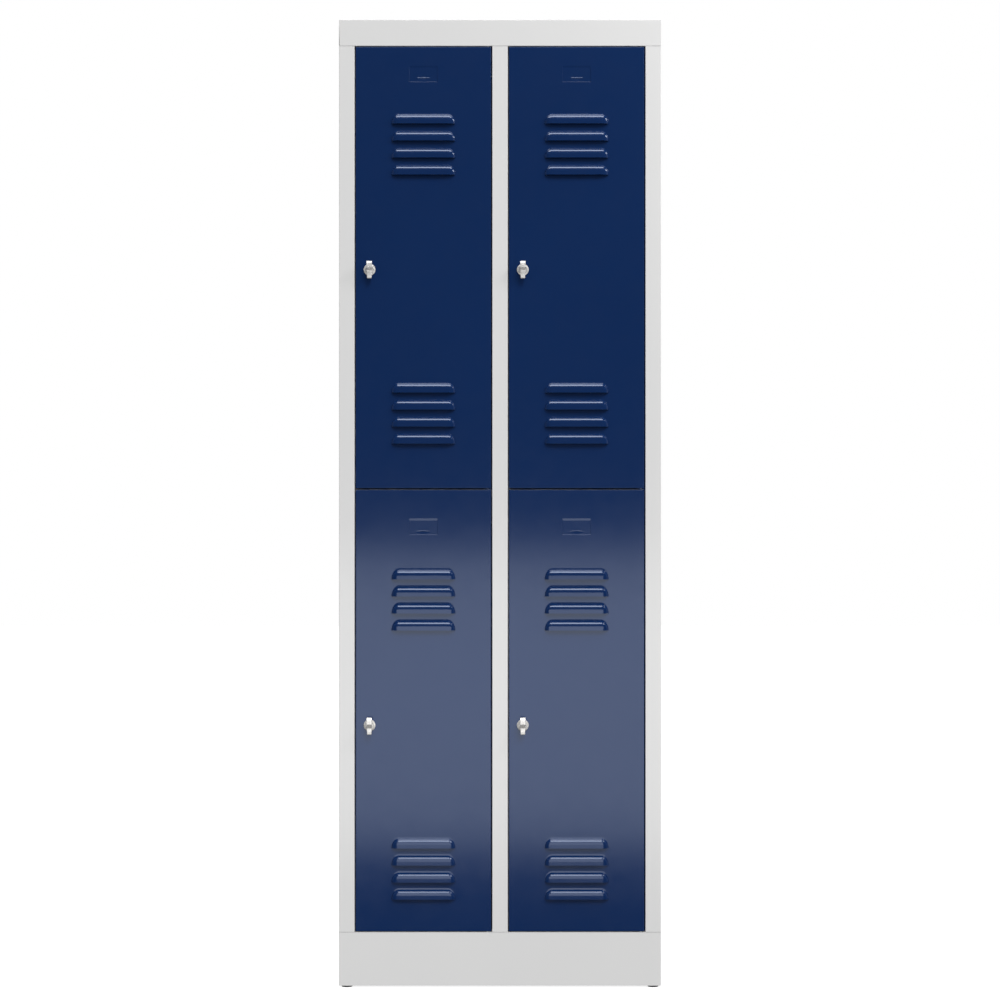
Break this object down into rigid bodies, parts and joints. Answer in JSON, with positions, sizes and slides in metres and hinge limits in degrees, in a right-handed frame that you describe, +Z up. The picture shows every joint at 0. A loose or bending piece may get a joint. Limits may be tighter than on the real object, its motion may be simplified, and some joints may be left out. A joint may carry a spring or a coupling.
{
  "type": "locker cabinet",
  "caption": "Tall metal locker with stacked doors in paired columns, louvred fronts, label recesses, turning padlock latches and a closed plinth.",
  "frame": {"origin": "middle of the overall box in plan (latches included), at the underside of the glides", "axes": "+Z up; -Y is the front, where the doors face; +X to the right seen from the front"},
  "size_m": [0.6, 0.521, 1.803],
  "materials": {
    "grey_paint": "light grey semi-gloss powder coat with a fine texture",
    "blue_paint": "dark blue semi-gloss powder coat",
    "latch_chrome": "satin nickel plated zinc casting",
    "rail_chrome": "bright plated steel tube",
    "zinc_steel": "zinc-plated steel",
    "nylon": "natural nylon",
    "black_plastic": "matt black plastic"
  },
  "bodies": {
    "root": {"left_side_panel": "grey_paint", "right_side_panel": "grey_paint", "centre_mullion": "grey_paint", "centre_partition": "grey_paint", "back_panel": "grey_paint", "roof_panel": "grey_paint", "floor_panel": "grey_paint", "plinth_frame": "grey_paint", "plinth_rear_rail": "grey_paint", "glide_front_left": "black_plastic", "glide_front_right": "black_plastic", "glide_rear_left": "black_plastic", "glide_rear_right": "black_plastic", "dividing_shelf_left": "grey_paint", "dividing_shelf_right": "grey_paint", "hinge_pin_top_left": "zinc_steel", "hinge_pin_middle_left": "zinc_steel", "hinge_pin_bottom_left": "zinc_steel", "pivot_plate_left": "blue_paint", "hinge_pin_top_right": "zinc_steel", "hinge_pin_middle_right": "zinc_steel", "hinge_pin_bottom_right": "zinc_steel", "pivot_plate_right": "blue_paint", "coat_rail_upper_left": "rail_chrome", "coat_rail_upper_right": "rail_chrome", "coat_rail_lower_left": "rail_chrome", "coat_rail_lower_right": "rail_chrome"},
    "door_upper_left": {"door_panel_upper_left": "blue_paint", "door_stiffener_upper_left": "blue_paint", "hinge_bush_bottom_upper_left": "nylon", "hinge_bush_top_upper_left": "nylon", "latch_body_upper_left": "latch_chrome", "latch_nut_upper_left": "zinc_steel"},
    "latch_upper_left": {"latch_lever_upper_left": "latch_chrome", "latch_cam_upper_left": "zinc_steel"},
    "door_upper_right": {"door_panel_upper_right": "blue_paint", "door_stiffener_upper_right": "blue_paint", "hinge_bush_bottom_upper_right": "nylon", "hinge_bush_top_upper_right": "nylon", "latch_body_upper_right": "latch_chrome", "latch_nut_upper_right": "zinc_steel"},
    "latch_upper_right": {"latch_lever_upper_right": "latch_chrome", "latch_cam_upper_right": "zinc_steel"},
    "door_lower_left": {"door_panel_lower_left": "blue_paint", "door_stiffener_lower_left": "blue_paint", "hinge_bush_bottom_lower_left": "nylon", "hinge_bush_top_lower_left": "nylon", "latch_body_lower_left": "latch_chrome", "latch_nut_lower_left": "zinc_steel"},
    "latch_lower_left": {"latch_lever_lower_left": "latch_chrome", "latch_cam_lower_left": "zinc_steel"},
    "door_lower_right": {"door_panel_lower_right": "blue_paint", "door_stiffener_lower_right": "blue_paint", "hinge_bush_bottom_lower_right": "nylon", "hinge_bush_top_lower_right": "nylon", "latch_body_lower_right": "latch_chrome", "latch_nut_lower_right": "zinc_steel"},
    "latch_lower_right": {"latch_lever_lower_right": "latch_chrome", "latch_cam_lower_right": "zinc_steel"}
  },
  "joints": [
    {"name": "hinge_upper_left", "type": "hinge", "parent": "root", "child": "door_upper_left", "pos_m": [-0.0225, -0.2343, 1.34125], "axis": [0, 0, 1], "range_deg": [0, 110]},
    {"name": "hinge_upper_right", "type": "hinge", "parent": "root", "child": "door_upper_right", "pos_m": [0.263, -0.2343, 1.34125], "axis": [0, 0, 1], "range_deg": [0, 110]},
    {"name": "hinge_lower_left", "type": "hinge", "parent": "root", "child": "door_lower_left", "pos_m": [-0.0225, -0.2343, 0.51575], "axis": [0, 0, 1], "range_deg": [0, 110]},
    {"name": "hinge_lower_right", "type": "hinge", "parent": "root", "child": "door_lower_right", "pos_m": [0.263, -0.2343, 0.51575], "axis": [0, 0, 1], "range_deg": [0, 110]},
    {"name": "turn_upper_left", "type": "hinge", "parent": "door_upper_left", "child": "latch_upper_left", "pos_m": [-0.243, -0.2395, 1.337], "axis": [0, 1, 0], "range_deg": [0, 90]},
    {"name": "turn_upper_right", "type": "hinge", "parent": "door_upper_right", "child": "latch_upper_right", "pos_m": [0.0425, -0.2395, 1.337], "axis": [0, 1, 0], "range_deg": [0, 90]},
    {"name": "turn_lower_left", "type": "hinge", "parent": "door_lower_left", "child": "latch_lower_left", "pos_m": [-0.243, -0.2395, 0.4883], "axis": [0, 1, 0], "range_deg": [0, 90]},
    {"name": "turn_lower_right", "type": "hinge", "parent": "door_lower_right", "child": "latch_lower_right", "pos_m": [0.0425, -0.2395, 0.4883], "axis": [0, 1, 0], "range_deg": [0, 90]}
  ]
}
